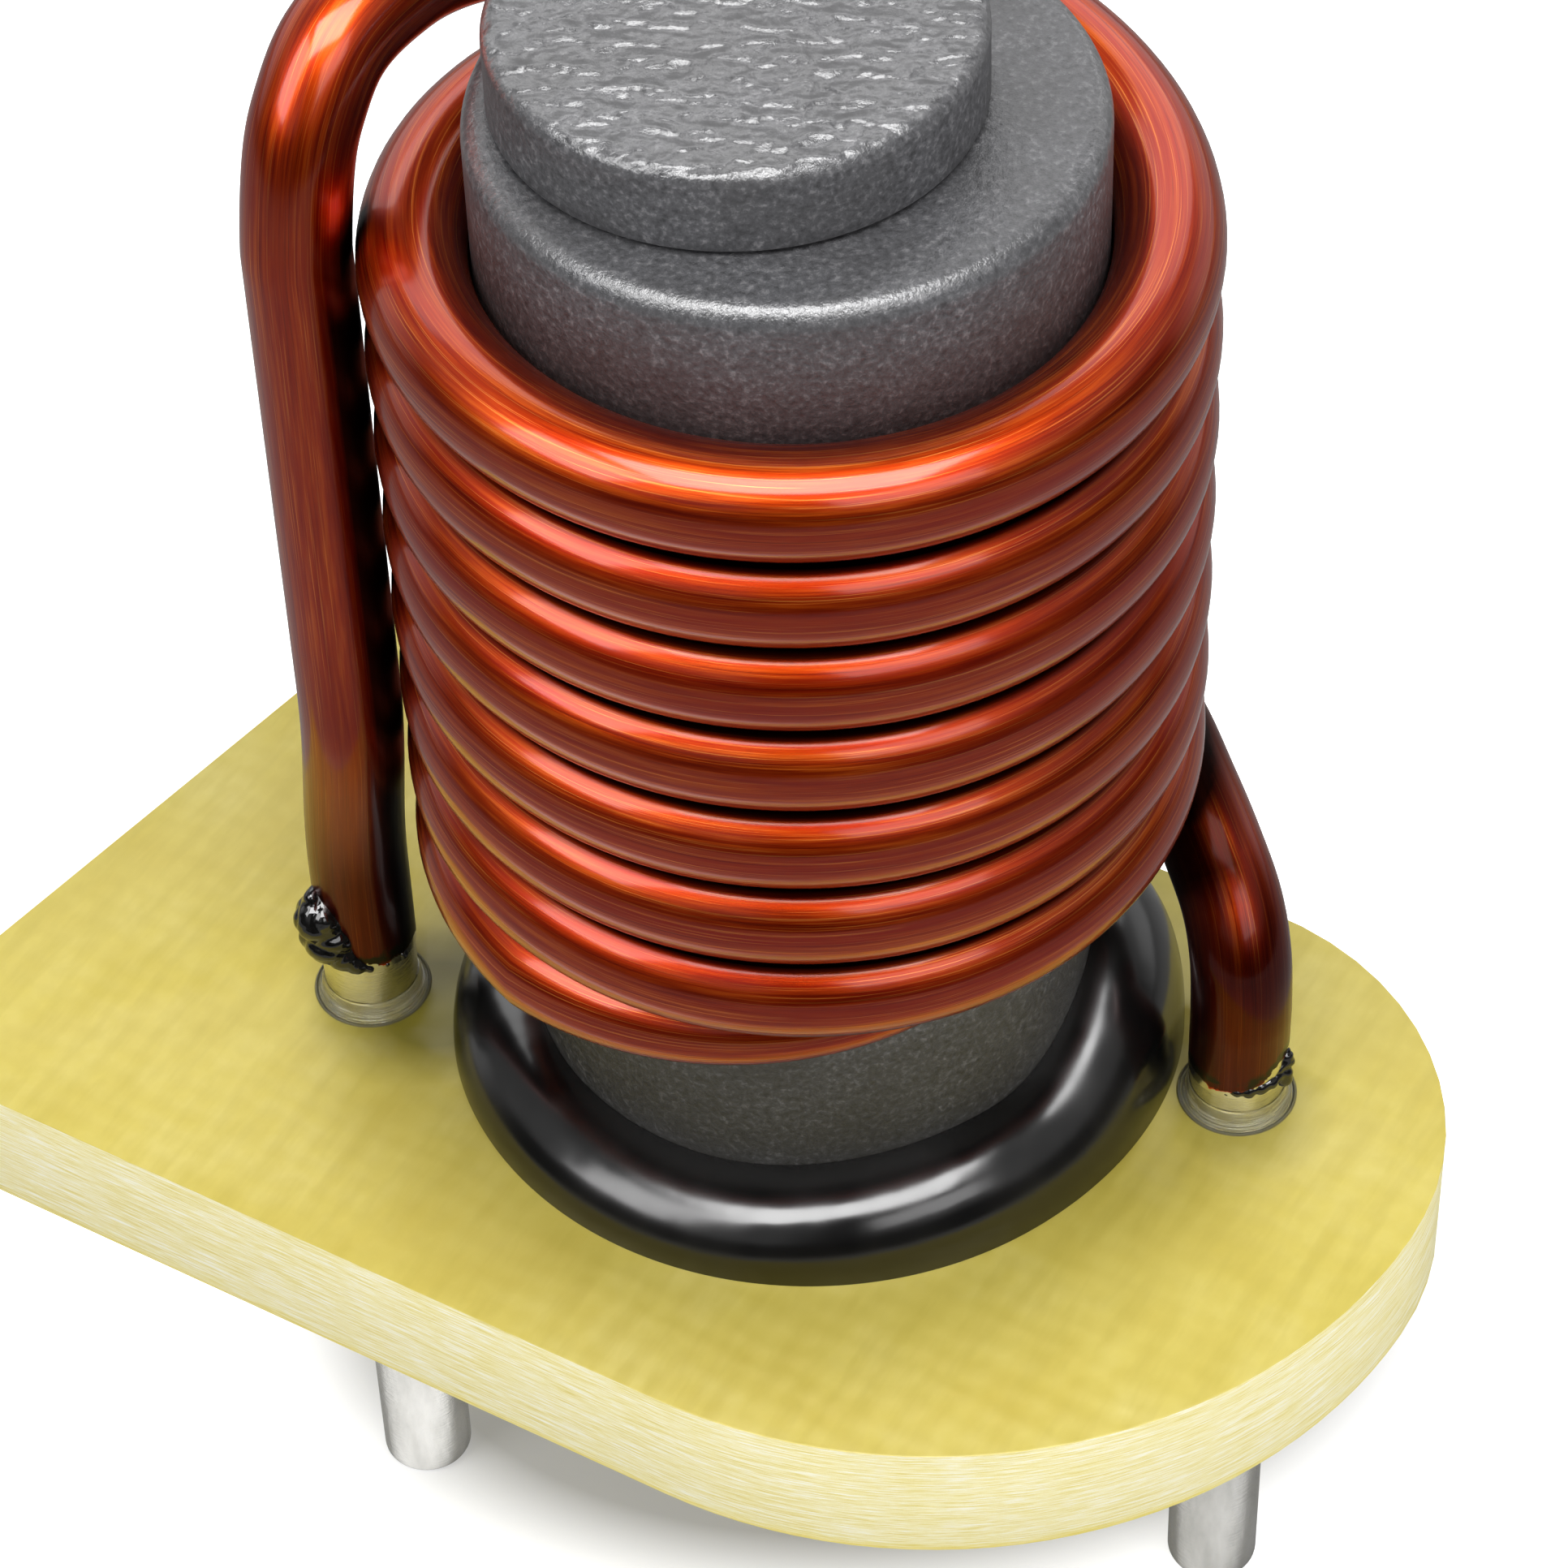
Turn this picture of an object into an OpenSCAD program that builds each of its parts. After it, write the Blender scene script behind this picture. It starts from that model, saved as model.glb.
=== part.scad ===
// Rod core inductor on a glass-epoxy base plate, through-hole leads.
// Millimetres, +Z up. Origin: core axis, on the underside of the base plate.
// +X runs towards the short (winding start) lead, +Y towards the back.

/* [Base plate] */
// Thickness of the laminate
plate_t = 3.2; // [1.6:0.1:4]
// Distance from the core axis to the long front edge
plate_front = 10.95; // [9:0.05:14]
// Distance from the core axis to the long back edge
plate_back = 7.0; // [6.8:0.1:12]
// Turn of the long edges from the X axis, degrees
plate_turn = 31.0; // [0:0.1:45]
// Distance from the core axis to the square end, along the front edge
left_front = 17.4; // [12:0.1:24]
// Distance from the core axis to the square end, along the back edge
left_back = 14.3; // [12:0.1:24]
// Radius of the rounded end where it leaves the front edge
end_r_front = 11.6; // [8:0.05:14]
// Radial clearance of a lead hole
hole_clear = 0.10; // [0.05:0.01:0.3]

/* [Core] */
// Diameter of the ferrite rod
core_d = 12.0; // [8:0.1:16]
// Length of the ferrite rod
core_h = 24.9; // [15:0.1:35]
// Rounding of the rod's edges
core_round = 0.45; // [0.1:0.05:1]
// Diameter of the small ferrite disc
disc_d = 9.28; // [5:0.02:11]
// Height of the small disc
disc_h = 1.75; // [0.8:0.05:3]
// Shift of the disc from the core axis in X
disc_x = -0.88; // [-2:0.01:2]
// Shift of the disc from the core axis in Y
disc_y = 0.25; // [-2:0.01:2]
// Thickness of the glue film under the disc
glue_t = 0.08; // [0.05:0.01:0.2]

/* [Wire] */
// Diameter of the bare copper
copper_d = 2.0; // [1:0.05:3]
// Thickness of the enamel
enamel_t = 0.06; // [0.03:0.01:0.1]
// Gap between neighbouring turns
turn_gap = 0.03; // [0.02:0.01:0.2]
// Gap between core and winding
core_gap = 0.04; // [0.03:0.01:0.2]
// Height of the top turn's centre over the plate, at the front
top_turn_z = 21.43; // [15:0.01:30]
// How much the turns lie low at the right, where the climb is left to the back
lay_side = 0.48; // [0:0.01:1]
// How much the turns lie high at the back
lay_back = 0.26; // [0:0.01:1]
// Space between the winding and the left lead, at the plate
left_gap = 0.42; // [0.1:0.01:1]
// Space between the winding and the left lead, beside the top turn
left_top_gap = 0.05; // [0.05:0.01:1]
// Space between the winding and the right lead
right_gap = 0.16; // [0.1:0.01:1]
// Direction of the left lead from the core axis at the plate, degrees
left_angle = 174.9; // [170:0.1:185]
// Direction of the left lead from the core axis beside the top turn, degrees
left_top_angle = 179.5; // [170:0.1:185]
// Height over which the left lead leans in to the winding
lean_len = 6; // [3:0.5:12]
// Direction of the right lead from the core axis, degrees
right_angle = -18.4; // [-30:0.1:-15]
// Length of the tails below the plate
tail_len = 13.3; // [3:0.1:20]
// Wall of the tin coat on the stripped ends
tin_t = 0.025; // [0.02:0.005:0.05]
// Stripped length over the plate, left lead
strip_left = 1.55; // [0.5:0.1:3]
// Stripped length over the plate, right lead
strip_right = 0.95; // [0.5:0.1:3]

/* [Epoxy] */
// Width of the epoxy bead round the rod, on the plate
bead_w = 1.9; // [1.2:0.05:1.95]
// Height of the bead at the core, front
bead_h = 1.5; // [0.5:0.1:3]
// Rise of the bead beside the right lead
bead_rise = 1.6; // [0:0.1:3]

/* [Hidden] */
wire_r = copper_d/2 + enamel_t;
bare_r = copper_d/2;
pitch = 2*wire_r + turn_gap;
core_r = core_d/2;
coil_r = core_r + core_gap + wire_r;      // centre line of the turns
pin_r = bare_r + 0.005 + tin_t;           // outside of the tin coat
hole_r = pin_r + hole_clear;
zt = plate_t;                             // top face of the plate
tip_z = -tail_len;
tip_ch = 0.2;                             // rounding of the dipped tips
tip_tin = 0.045;                          // tin under the cut face of the copper
thin = 0.005;                             // the stripped end gets thinner through the plate
coil_out = coil_r + wire_r;
function polar(r, f) = [r*cos(f), r*sin(f)];
left_xy = polar(coil_out + left_gap + wire_r, left_angle);
left_top = polar(coil_out + left_top_gap + wire_r, left_top_angle);
right_xy = polar(coil_out + right_gap + wire_r, right_angle);
sides = 14;
step = 10;

// ---- path helpers -------------------------------------------------------
// Point of the winding: a = 0 at the front of the top turn, one turn per 360
function turn_z(a) = zt + top_turn_z + pitch*a/360 + lay_back*(1 - cos(a)) - lay_side*sin(a);
function turn_pt(a) = [coil_r*cos(a - 90), coil_r*sin(a - 90), turn_z(a)];
function cr(p0, p1, p2, p3, t) = 0.5*(2*p1 + (p2 - p0)*t + (2*p0 - 5*p1 + 4*p2 - p3)*t*t
    + (3*p1 - p0 - 3*p2 + p3)*t*t*t);
function spline(c, n) = [for (i = [1:len(c) - 3]) for (k = [0:n - 1])
    cr(c[i - 1], c[i], c[i + 1], c[i + 2], k/n)];
function unit(v) = v/norm(v);
function tan_at(p, i) = unit(p[min(i + 1, len(p) - 1)] - p[max(i - 1, 0)]);
function flat(v, t) = unit(v - (v*t)*t);
// Section directions carried along the path without twist
function carried(p) = let (n = len(p)) [for (i = 0, v = flat([1, 0.1, 0.05], tan_at(p, 0)); i < n;
    i = i + 1, v = i < n ? flat(v, tan_at(p, i)) : v) v];
module sweep(p, r, m) {
    n = len(p);
    v = carried(p);
    pts = [for (i = [0:n - 1]) let (t = tan_at(p, i), b = cross(t, v[i])) for (k = [0:m - 1])
        p[i] + r[i]*(cos(360*k/m)*v[i] + sin(360*k/m)*b)];
    polyhedron(points = pts, faces = concat(
        [[for (k = [0:m - 1]) k]],
        [for (i = [0:n - 2]) for (k = [0:m - 1]) let (a = i*m + k, b = i*m + (k + 1)%m)
            [a, a + m, b]],
        [for (i = [0:n - 2]) for (k = [0:m - 1]) let (a = i*m + k, b = i*m + (k + 1)%m)
            [b, a + m, b + m]],
        [[for (k = [m - 1:-1:0]) (n - 1)*m + k]]), convexity = 10);
}

// ---- the wire -----------------------------------------------------------
start_a = -2370;    // joins the lowest turn at the back, right of centre
end_a = 165;        // leaves the top turn at the back
start_z = turn_pt(start_a - 15)[2];
end_z = turn_pt(end_a)[2];
lean_z = zt + strip_left + 2.4;           // the left lead leans in above this
lead_top_z = end_z - 1.2;
function ease(s) = s*s*(3 - 2*s);
function left_lead(z) = let (s = ease(max(0, min(1, (z - lean_z)/lean_len))))
    [left_xy[0] + s*(left_top[0] - left_xy[0]), left_xy[1] + s*(left_top[1] - left_xy[1]), z];
function right_lead(z) = [right_xy[0], right_xy[1], z];
// Bends between a lead and the winding: s is the share of the way from the
// turns (0) out to the lead (1), f the turn from the lead, dz from the turn
function bend_pt(r, s, f, z) = let (p = polar(coil_r + s*(r - coil_r), f)) [p[0], p[1], z];
right_way = [[0.95, 1.3, -3.25], [0.8, 5.6, -2.4], [0.57, 11.6, -1.7], [0.37, 20, -1.3],
    [0.22, 34, -0.9], [0.11, 49.1, -0.45]];
left_way = [[0.02, -87.1, 0.35], [0.07, -68.1, 1.0], [0.1, -49, 1.8], [0.24, -31.6, 2.47],
    [0.43, -19.8, 2.6], [0.65, -11.7, 2.3], [0.81, -6.2, 1.55], [0.92, -2.7, 0.6]];
right_bend = concat([right_lead(start_z - 6.05), right_lead(start_z - 4.65)],
    [for (w = right_way) bend_pt(norm(right_xy), w[0], right_angle + w[1], start_z + w[2])],
    [turn_pt(start_a - 15), turn_pt(start_a), turn_pt(start_a + 15)]);
left_bend = concat([turn_pt(end_a - 15), turn_pt(end_a)],
    [for (w = left_way) bend_pt(norm(left_top), w[0], left_top_angle + w[1], end_z + w[2])],
    [left_lead(lead_top_z), left_lead(lead_top_z - 1.5)]);
right_rise = [right_lead(zt + strip_right)];
left_fall = [for (k = [0:8]) left_lead(lead_top_z + (lean_z - lead_top_z)*k/8), left_lead(zt + strip_left)];
coil = [for (a = [start_a:step:end_a - step/2]) turn_pt(a)];
wire_path = concat(right_rise, spline(right_bend, 3), coil, spline(left_bend, 3), left_fall);
wire_rad = [for (p = wire_path) wire_r];
// Stripped end of a lead, from inside the enamelled part down to its tip
module stripped(xy, strip) translate([xy[0], xy[1], tip_z + tip_tin]) rotate_extrude($fn = 48)
    let (c = tip_z + tip_tin, top = zt + strip + 0.4 - c) polygon([[0, 0], [bare_r - tip_ch, 0],
        [bare_r, tip_ch], [bare_r, -0.15 - c], [bare_r - thin, zt - c], [bare_r - thin, top], [0, top]]);
module winding() color([0.62, 0.2, 0.09]) {
    sweep(wire_path, wire_rad, sides);
    stripped(left_xy, strip_left);
    stripped(right_xy, strip_right);
}

// Lowest strand: full wire on the left, drawn down to a point that tucks
// into the groove between the rod and the lowest full turn at the front
function strand_r(f) = f < -140 ? wire_r : f < -70 ? wire_r - (f + 140)/70*(wire_r - 0.49) :
    0.49 - (f + 70)/8*0.13;
function strand_pt(a) = let (f = a + 2430, r = strand_r(f), dr = wire_r - r, dd = wire_r + r + turn_gap)
    [(coil_r - dr)*cos(a - 90), (coil_r - dr)*sin(a - 90),
     turn_z(a + 360) - sqrt(dd*dd - dr*dr)];
strand_all = [for (a = [-2714:6:-2492]) a];
module tucked_strand() color([0.62, 0.2, 0.09])
    sweep([for (a = strand_all) strand_pt(a)], [for (a = strand_all) strand_r(a + 2430)], sides);

// ---- stripped, tinned ends ----------------------------------------------
// The coat closes round the tip
module tin_coat(xy, strip) color([0.8, 0.8, 0.79]) translate([xy[0], xy[1], 0]) rotate_extrude($fn = 48) {
    r = bare_r + 0.005;
    c = tip_z + tip_tin - 0.005;
    polygon(concat([[0, tip_z]],
        [for (i = [0:5]) [pin_r - tip_ch*(1 - sin(18*i)), tip_z + tip_ch*(1 - cos(18*i))]],
        [[pin_r, -0.15], [pin_r - thin, zt], [pin_r - thin, zt + strip - 0.03],
            [r - thin, zt + strip - 0.03], [r - thin, zt], [r, -0.15],
            [r, c + tip_ch], [r - tip_ch, c], [0, c]]));
}
module left_tin_coat() tin_coat(left_xy, strip_left);
module right_tin_coat() tin_coat(right_xy, strip_right);

// Meniscus around a lead where it leaves the plate
collar_w = 0.27;
collar_h = 0.48;
module collar(xy) color([0.86, 0.84, 0.72]) translate([xy[0], xy[1], zt]) rotate_extrude($fn = 48)
    polygon([[pin_r + 0.005, 0], [pin_r + collar_w, 0], [pin_r + 0.9*collar_w, 0.1],
        [pin_r + 0.5*collar_w, 0.2], [pin_r + 0.2*collar_w, 0.33], [pin_r + 0.1*collar_w, collar_h],
        [pin_r + 0.005, collar_h]]);
module left_collar() collar(left_xy);
module right_collar() collar(right_xy);

// ---- plate --------------------------------------------------------------
// Outline in axes along and across the long edges, turned afterwards
function arc(c, r, a0, a1, n) = [for (i = [0:n]) c + r*[cos(a0 + (a1 - a0)*i/n), sin(a0 + (a1 - a0)*i/n)]];
// centre of the front arc (u along the plate, v across, v < 0 is the front)
end_u = 2.54;
end_c = [end_u, -(plate_front - end_r_front)];
arc_join = -2.7;    // direction where the two arcs meet
// The back arc runs out tangent to the back edge
end_r_back = (plate_back - end_c[1] - end_r_front*sin(arc_join))/(1 - sin(arc_join));
back_c = end_c + (end_r_front - end_r_back)*[cos(arc_join), sin(arc_join)];
module plate_outline() rotate(-plate_turn) polygon(concat(
    [[-left_front, -plate_front]],
    arc(end_c, end_r_front, -90, arc_join, 30),
    arc(back_c, end_r_back, arc_join, 90, 14),
    [[-left_back, plate_back]]));
module base_plate() color([0.86, 0.82, 0.42]) difference() {
    linear_extrude(plate_t) plate_outline();
    for (p = [left_xy, right_xy]) translate([p[0], p[1], -1])
        cylinder(h = plate_t + 2, r = hole_r, $fn = 48);
}

// ---- ferrite ------------------------------------------------------------
module ferrite_core() color([0.2, 0.2, 0.21]) translate([0, 0, zt]) rotate_extrude($fn = 96)
    polygon(concat([[0, 0]],
        [for (i = [0:3]) [core_r - core_round*0.5*(1 - sin(30*i)), core_round*0.5*(1 - cos(30*i))]],
        [for (i = [0:5]) [core_r - core_round*(1 - cos(18*i)), core_h - core_round*(1 - sin(18*i))]],
        [[0, core_h]]));
module disc_adhesive() color([0.12, 0.11, 0.1]) translate([disc_x, disc_y, zt + core_h])
    cylinder(h = glue_t, r = disc_d/2 - 0.2, $fn = 64);
module top_disc() color([0.25, 0.25, 0.26]) translate([disc_x, disc_y, zt + core_h + glue_t])
    rotate_extrude($fn = 80) polygon(concat([[0, 0], [disc_d/2 - 0.1, 0], [disc_d/2, 0.1]],
        [for (i = [0:4]) [disc_d/2 - 0.3*(1 - cos(22.5*i)), disc_h - 0.3*(1 - sin(22.5*i))]],
        [[0, disc_h]]));

// ---- epoxy --------------------------------------------------------------
// Bead round the foot of the rod: it rises beside the right lead and is
// drawn in at the back, where the plate ends
function bump(f, c, w) = let (d = abs((f - c + 540)%360 - 180)) d < w ? 0.5 + 0.5*cos(180*d/w) : 0;
function bead_top(f) = bead_h + 0.4*bump(f, -58, 60) + bead_rise*bump(f, -5, 48);
function bead_out(f) = core_r + bead_w + 0.12*bump(f, -10, 46) - 0.95*bump(f, 92, 110);
bead_n = 60;
bead_m = 8;
bead_in = (core_r + 0.005)/cos(180/bead_n);    // its facets stay off the rod
function bead_sec(f) = let (h = bead_top(f), w = bead_out(f) - bead_in)
    concat([[bead_in, 0]], [[bead_in, h]],
        [for (i = [1:bead_m]) let (a = 90*i/bead_m)
            [bead_in + w*pow(sin(a), 0.95), h*pow(cos(a), 0.8)]]);
module epoxy_bead() color([0.03, 0.03, 0.03]) {
    m = bead_m + 2;
    pts = [for (j = [0:bead_n - 1]) let (f = -180 + 360*j/bead_n) for (q = bead_sec(f))
        [q[0]*cos(f), q[0]*sin(f), zt + q[1]]];
    polyhedron(points = pts, faces = concat(
        [for (j = [0:bead_n - 1]) for (k = [0:m - 1]) let (a = j*m + k, b = j*m + (k + 1)%m,
            c = ((j + 1)%bead_n)*m + k) [a, b, c]],
        [for (j = [0:bead_n - 1]) for (k = [0:m - 1]) let (b = j*m + (k + 1)%m,
            c = ((j + 1)%bead_n)*m + k, d = ((j + 1)%bead_n)*m + (k + 1)%m) [b, d, c]]), convexity = 4);
}

// Charred enamel at the foot of each lead: [direction, height over the end
// of the enamel, radius, centre's distance from the wire's surface]
module char_on(xy, end_z, lumps) color([0.04, 0.035, 0.03]) difference() {
    union() for (l = lumps) translate([xy[0] + (wire_r + l[3])*cos(l[0]), xy[1] + (wire_r + l[3])*sin(l[0]),
        end_z + l[1]]) sphere(r = l[2], $fn = 20);
    translate([xy[0], xy[1], -1]) cylinder(h = 20, r = wire_r + 0.01, $fn = 48);
}
left_char = [[215, 1.35, 0.62, 0], [232, 0.8, 0.5, 0], [205, 1.75, 0.4, 0.04], [250, 0.4, 0.34, -0.05],
    [272, 0.18, 0.26, -0.05], [296, 0.12, 0.24, -0.05], [320, 0.12, 0.28, -0.03]];
right_char = [[-22, 0.55, 0.3, -0.05], [-42, 0.4, 0.32, -0.05], [-62, 0.25, 0.3, -0.05],
    [-85, 0.2, 0.24, -0.07], [-108, 0.2, 0.22, -0.07], [-50, 0.05, 0.24, 0.03]];
module left_enamel_blob() char_on(left_xy, zt + strip_left, left_char);
module right_enamel_blob() char_on(right_xy, zt + strip_right, right_char);

base_plate();
ferrite_core();
disc_adhesive();
top_disc();
winding();
tucked_strand();
left_tin_coat();
right_tin_coat();
left_collar();
right_collar();
epoxy_bead();
left_enamel_blob();
right_enamel_blob();
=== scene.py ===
import math
import bmesh
import bpy
import numpy as np
from mathutils import Matrix, Vector, noise


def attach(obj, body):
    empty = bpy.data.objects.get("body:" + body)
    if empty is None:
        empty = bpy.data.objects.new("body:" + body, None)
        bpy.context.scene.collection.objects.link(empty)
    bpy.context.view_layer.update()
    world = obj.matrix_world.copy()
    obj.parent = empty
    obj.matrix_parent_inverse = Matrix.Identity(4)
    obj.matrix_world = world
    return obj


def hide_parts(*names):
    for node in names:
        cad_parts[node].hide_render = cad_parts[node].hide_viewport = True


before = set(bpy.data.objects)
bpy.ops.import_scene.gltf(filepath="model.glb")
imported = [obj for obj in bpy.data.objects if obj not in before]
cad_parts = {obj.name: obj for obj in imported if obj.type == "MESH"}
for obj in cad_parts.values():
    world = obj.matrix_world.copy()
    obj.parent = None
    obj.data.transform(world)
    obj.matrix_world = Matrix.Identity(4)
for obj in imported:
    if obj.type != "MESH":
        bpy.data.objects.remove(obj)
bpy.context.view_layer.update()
MM = 0.001
TO_MM = (1000, 1000, 1000)

# ---------------------------------------------------------------- dimensions, mm (as in the CAD source)
plate_t = 3.2
core_r = 6.0
core_h = 24.9
core_round = 0.45
disc_r = 4.64
disc_h = 1.75
disc_x = -0.88
disc_y = 0.25
glue_t = 0.08
wire_r = 1.06
bare_r = 1.0
pin_r = 1.03
turn_gap = 0.03
pitch = 2 * wire_r + turn_gap
coil_r = 7.10
coil_out = coil_r + wire_r
top_turn_z = 21.43
lay_side = 0.48
lay_back = 0.26
tip_z = -13.3
strip_left = 1.55
strip_right = 0.95
left_gap = 0.42
left_top_gap = 0.05
right_gap = 0.16
left_angle = 174.9
left_top_angle = 179.5
right_angle = -18.4
bead_w = 1.9
bead_h = 1.5


def polar(r, f):
    """Point at radius r and angle f, in degrees."""
    return np.array([r * math.cos(math.radians(f)), r * math.sin(math.radians(f))])


left_xy = polar(coil_out + left_gap + wire_r, left_angle)
left_top = polar(coil_out + left_top_gap + wire_r, left_top_angle)
right_xy = polar(coil_out + right_gap + wire_r, right_angle)


# ---------------------------------------------------------------- node trees
def rgb(r, g, b):
    """sRGB 0-255 to linear."""
    def linear(c):
        return c / 12.92 if c <= 0.04 else ((c + 0.055) / 1.055) ** 2.4
    return (linear(r / 255), linear(g / 255), linear(b / 255), 1)


class Graph:
    """Short calls that build one node tree."""

    def __init__(self, tree):
        self.tree = tree

    def add(self, kind, **sets):
        """A new node. Names that begin with _ are its inputs, the others its settings."""
        n = self.tree.nodes.new(kind)
        for key, value in sets.items():
            if key.startswith("_"):
                n.inputs[key[1:].replace("_", " ")].default_value = value
            else:
                setattr(n, key, value)
        return n

    def link(self, a, b):
        self.tree.links.new(a, b)

    def put(self, value, socket):
        """A constant is set on the socket, an output is linked to it."""
        if isinstance(value, (float, int, tuple)):
            socket.default_value = value
        else:
            self.link(value, socket)

    def math(self, op, a, b=0.0):
        n = self.add("ShaderNodeMath", operation=op)
        self.put(a, n.inputs[0])
        self.put(b, n.inputs[1])
        return n.outputs[0]

    def times(self, a, *others):
        for b in others:
            a = self.math("MULTIPLY", a, b)
        return a

    def most(self, a, *others):
        for b in others:
            a = self.math("MAXIMUM", a, b)
        return a

    def remap(self, v, a, b, c, d):
        """c where v is a, d where it is b, and held beyond them."""
        n = self.add("ShaderNodeMapRange")
        for i, x in enumerate((a, b, c, d)):
            n.inputs[i + 1].default_value = x
        self.link(v, n.inputs[0])
        return n.outputs[0]

    def axis(self, vec, name):
        n = self.add("ShaderNodeSeparateXYZ")
        self.link(vec, n.inputs[0])
        return n.outputs[name]

    def measure(self, vec, op, *point):
        """Length of vec, or its distance from a point."""
        n = self.add("ShaderNodeVectorMath", operation=op)
        self.link(vec, n.inputs[0])
        for p in point:
            n.inputs[1].default_value = p
        return n.outputs["Value"]


class Material(Graph):
    """A Principled material."""

    def __init__(self, name):
        self.mat = bpy.data.materials.new(name)
        self.mat.use_nodes = True
        super().__init__(self.mat.node_tree)
        self.bsdf = next(n for n in self.tree.nodes if n.type == "BSDF_PRINCIPLED")

    def set(self, **values):
        for key, value in values.items():
            self.bsdf.inputs[key.replace("_", " ")].default_value = value

    def to(self, name, output):
        self.link(output, self.bsdf.inputs[name])

    def mapped(self, vec, scale, rotate=(0, 0, 0)):
        n = self.add("ShaderNodeMapping", _Scale=scale, _Rotation=rotate)
        self.link(vec, n.inputs["Vector"])
        return n.outputs["Vector"]

    def coords(self, scale=TO_MM, rotate=(0, 0, 0)):
        return self.mapped(self.add("ShaderNodeTexCoord").outputs["Object"], scale, rotate)

    def along(self, scale):
        """Round a piece (first two) and along it (third, mm)."""
        return self.mapped(self.add("ShaderNodeAttribute", attribute_name="along").outputs["Vector"], scale)

    def painted(self, name):
        return self.add("ShaderNodeAttribute", attribute_name=name).outputs["Fac"]

    def facing(self):
        """How far the surface looks up."""
        return self.axis(self.add("ShaderNodeNewGeometry").outputs["Normal"], "Z")

    def noise(self, vec, scale=1.0, detail=4, rough=0.5, distort=0.0):
        n = self.add("ShaderNodeTexNoise", _Scale=scale, _Detail=detail, _Roughness=rough,
                     _Distortion=distort)
        self.link(vec, n.inputs["Vector"])
        return n.outputs["Fac"]

    def wave(self, vec, axis, scale, distort, detail):
        n = self.add("ShaderNodeTexWave", bands_direction=axis, _Scale=scale, _Distortion=distort,
                     _Detail=detail)
        self.link(vec, n.inputs["Vector"])
        return n.outputs["Fac"]

    def ramp(self, fac, stops):
        n = self.add("ShaderNodeValToRGB")
        elements = n.color_ramp.elements
        while len(elements) < len(stops):
            elements.new(0.5)
        for element, (place, color) in zip(elements, stops):
            element.position = place
            element.color = color
        self.link(fac, n.inputs["Fac"])
        return n.outputs["Color"]

    def mix(self, a, b, fac, blend="MIX"):
        """Colour a where fac is 0, colour b where it is 1."""
        n = self.add("ShaderNodeMix", data_type="RGBA", blend_type=blend)
        for name, value in (("A", a), ("B", b), ("Factor", fac)):
            self.put(value, [i for i in n.inputs if i.name == name and i.enabled][0])
        return [o for o in n.outputs if o.enabled][0]

    def lerp(self, a, b, fac):
        """Number a where fac is 0, number b where it is 1."""
        return self.math("ADD", a, self.times(self.math("SUBTRACT", b, a), fac))

    def bump(self, height, dist, strength=1.0, normal=None):
        n = self.add("ShaderNodeBump", _Strength=strength, _Distance=dist)
        self.link(height, n.inputs["Height"])
        if normal:
            self.link(normal, n.inputs["Normal"])
        return n.outputs["Normal"]


# ---------------------------------------------------------------- materials
def enamel():
    """Red-brown enamel over drawn copper: fine lines along the wire, a ragged end over tinned copper."""
    deep_red = (0.36, 0.016, 0.001, 1)
    red = (0.50, 0.044, 0.002, 1)
    orange = (0.68, 0.115, 0.008, 1)
    wine = (0.42, 0.012, 0.0006, 1)
    bright_line = (0.98, 0.30, 0.05, 1)
    dark_line = (0.16, 0.008, 0.001, 1)
    # painted shade: near-black, for crevices between stretches and the leads' shaded sides
    crevice_shade = (0.006, 0.001, 0.0005, 1)
    # heat-scorched colour, also painted shade near the solder
    scorch_and_shade = (0.13, 0.05, 0.03, 1)
    glow_red = (1.0, 0.09, 0.004, 1)
    soot = (0.010, 0.012, 0.004, 1)

    n = Material("enamelled_copper")
    lines = n.noise(n.along((30, 30, 0.16)), detail=3, rough=0.7)
    fine = n.noise(n.along((9, 9, 0.35)), detail=3, rough=0.6)
    broad = n.noise(n.along((2.2, 2.2, 0.12)), detail=2)
    base = n.ramp(fine, [(0.3, deep_red), (0.52, red), (0.74, orange)])
    base = n.mix(base, wine, n.remap(broad, 0.42, 0.72, 0.0, 0.6))
    base = n.mix(base, bright_line, n.remap(lines, 0.57, 0.70, 0.0, 0.75))
    base = n.mix(base, dark_line, n.remap(lines, 0.30, 0.42, 0.6, 0.0))

    # painted shade between stretches that lie close and on the leads' shaded sides; scorched, with painted
    # shade, towards the solder
    pit = n.painted("pit")
    base = n.mix(base, crevice_shade, pit)
    singe = n.painted("singe")
    base = n.mix(base, scorch_and_shade, n.times(singe, 0.93), "MULTIPLY")

    # the ragged end: sooty, then glowing red, then bare tinned copper
    jag = n.noise(n.coords(), 2.6, rough=0.6)
    end = n.math("ADD", n.painted("end"), n.remap(jag, 0.3, 0.7, -0.14, 0.14))
    bare = n.remap(end, 0.82, 0.83, 0.0, 1.0)
    base = n.mix(base, glow_red, n.times(n.remap(end, 0.75, 0.82, 0.0, 1.0), 0.8))
    patches = n.noise(n.coords(), 1.3, rough=0.6)
    smear = n.times(n.remap(end, 0.42, 0.60, 0.0, 1.0), n.remap(patches, 0.42, 0.50, 0.0, 1.0))
    base = n.mix(base, soot, n.times(smear, 0.95))
    n.to("Base Color", n.mix(base, rgb(226, 225, 222), bare))

    n.set(Metallic=1.0, Coat_Roughness=0.13, Coat_IOR=1.45)
    # no coat where the painted shade lies, and less where scorched and shaded
    n.to("Coat Weight", n.math("SUBTRACT", 1.0, n.most(bare, pit, n.times(singe, 0.6))))
    n.to("Roughness", n.lerp(n.remap(fine, 0.3, 0.7, 0.34, 0.46), 0.16, bare))
    n.to("Normal", n.bump(lines, 0.00001, 0.25))
    return n.mat


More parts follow.
